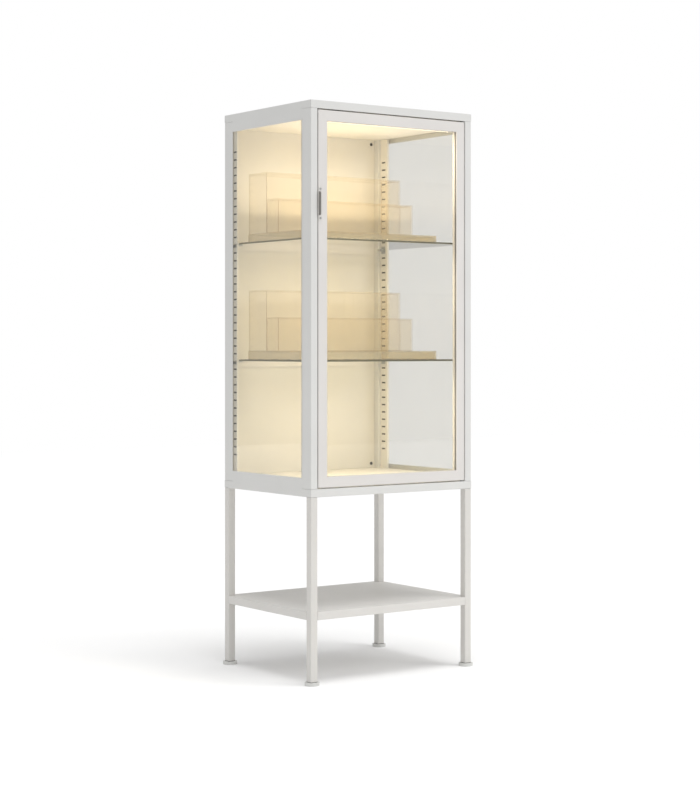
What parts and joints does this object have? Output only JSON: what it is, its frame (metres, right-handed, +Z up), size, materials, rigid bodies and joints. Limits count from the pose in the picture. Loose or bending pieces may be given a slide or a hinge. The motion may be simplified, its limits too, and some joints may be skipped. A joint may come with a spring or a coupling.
{
  "type": "figurine display cabinet",
  "caption": "Tall glass display cabinet: square-tube steel frame on legs, inset hinged glass door, glass sides and shelves on slotted uprights, light bar, tray shelf below.",
  "frame": {"origin": "middle of the cabinet's footprint at the floor, with the feet counted in the footprint", "axes": "+Z up, door on the -Y side, +X to the right as seen from the front"},
  "size_m": [0.516, 0.411, 1.42],
  "materials": {
    "white_powder_coat": "satin powder coat",
    "clear_glass": "polished",
    "shelf_glass": "polished with ground edges",
    "black_rubber": "matt",
    "clear_rubber": "satin",
    "zinc_steel": "zinc plated",
    "acetal": "moulded",
    "grey_plastic": "moulded",
    "white_plastic": "moulded",
    "white_foam": "matt foam tape",
    "magnet": "sintered ferrite",
    "anodised_aluminium": "anodised",
    "opal_plastic": "opal, lit",
    "clear_acrylic": "polished"
  },
  "bodies": {
    "cabinet": {"back_panel": "white_powder_coat", "back_screws": "zinc_steel", "cable_grommet": "black_rubber", "catch_body": "grey_plastic", "catch_magnet": "magnet", "ceiling_panel": "white_powder_coat", "floor_panel": "white_powder_coat", "glass_shelf_lower": "shelf_glass", "glass_shelf_upper": "shelf_glass", "glazing_beads": "white_powder_coat", "hinge_bushes": "acetal", "leg_front_left": "white_powder_coat", "leg_front_right": "white_powder_coat", "leg_inserts": "acetal", "leg_rear_left": "white_powder_coat", "leg_rear_right": "white_powder_coat", "light_diffuser": "opal_plastic", "light_end_caps": "anodised_aluminium", "light_housing": "anodised_aluminium", "lower_shelf": "white_powder_coat", "mid_rail_front": "white_powder_coat", "mid_rail_left": "white_powder_coat", "mid_rail_rear": "white_powder_coat", "mid_rail_right": "white_powder_coat", "shelf_clips": "zinc_steel", "shelf_pads": "clear_rubber", "side_glass_left": "clear_glass", "side_glass_right": "clear_glass", "side_glass_tapes": "white_foam", "slotted_upright_front_left": "white_powder_coat", "slotted_upright_front_right": "white_powder_coat", "slotted_upright_rear_left": "white_powder_coat", "slotted_upright_rear_right": "white_powder_coat", "step_plinths": "clear_acrylic", "steps_high": "clear_acrylic", "steps_low": "clear_acrylic", "top_panel": "white_powder_coat", "top_rail_front": "white_powder_coat", "top_rail_left": "white_powder_coat", "top_rail_rear": "white_powder_coat", "top_rail_right": "white_powder_coat", "upper_post_front_left": "white_powder_coat", "upper_post_front_right": "white_powder_coat", "upper_post_rear_left": "white_powder_coat", "upper_post_rear_right": "white_powder_coat"},
    "door": {"door_gasket": "black_rubber", "door_glass": "clear_glass", "door_pull": "white_powder_coat", "door_rail_bottom": "white_powder_coat", "door_rail_top": "white_powder_coat", "door_stile_left": "white_powder_coat", "door_stile_right": "white_powder_coat", "hinge_pin_bottom": "zinc_steel", "hinge_pin_top": "zinc_steel", "pull_screws": "zinc_steel", "strike_plate": "zinc_steel"},
    "foot_front_left": {"foot_front_left": "white_plastic"},
    "foot_front_right": {"foot_front_right": "white_plastic"},
    "foot_rear_left": {"foot_rear_left": "white_plastic"},
    "foot_rear_right": {"foot_rear_right": "white_plastic"}
  },
  "joints": [
    {"name": "door_hinge", "type": "hinge", "parent": "cabinet", "child": "door", "pos_m": [0.223, -0.1925, 0.938], "axis": [0, 0, 1], "range_deg": [0, 105]},
    {"name": "foot_front_left_turn", "type": "hinge", "parent": "cabinet", "child": "foot_front_left", "pos_m": [-0.24, -0.1875, 0.018], "axis": [0, 0, 1], "continuous": true},
    {"name": "foot_front_right_turn", "type": "hinge", "parent": "cabinet", "child": "foot_front_right", "pos_m": [0.24, -0.1875, 0.018], "axis": [0, 0, 1], "continuous": true},
    {"name": "foot_rear_left_turn", "type": "hinge", "parent": "cabinet", "child": "foot_rear_left", "pos_m": [-0.24, 0.1875, 0.018], "axis": [0, 0, 1], "continuous": true},
    {"name": "foot_rear_right_turn", "type": "hinge", "parent": "cabinet", "child": "foot_rear_right", "pos_m": [0.24, 0.1875, 0.018], "axis": [0, 0, 1], "continuous": true}
  ]
}
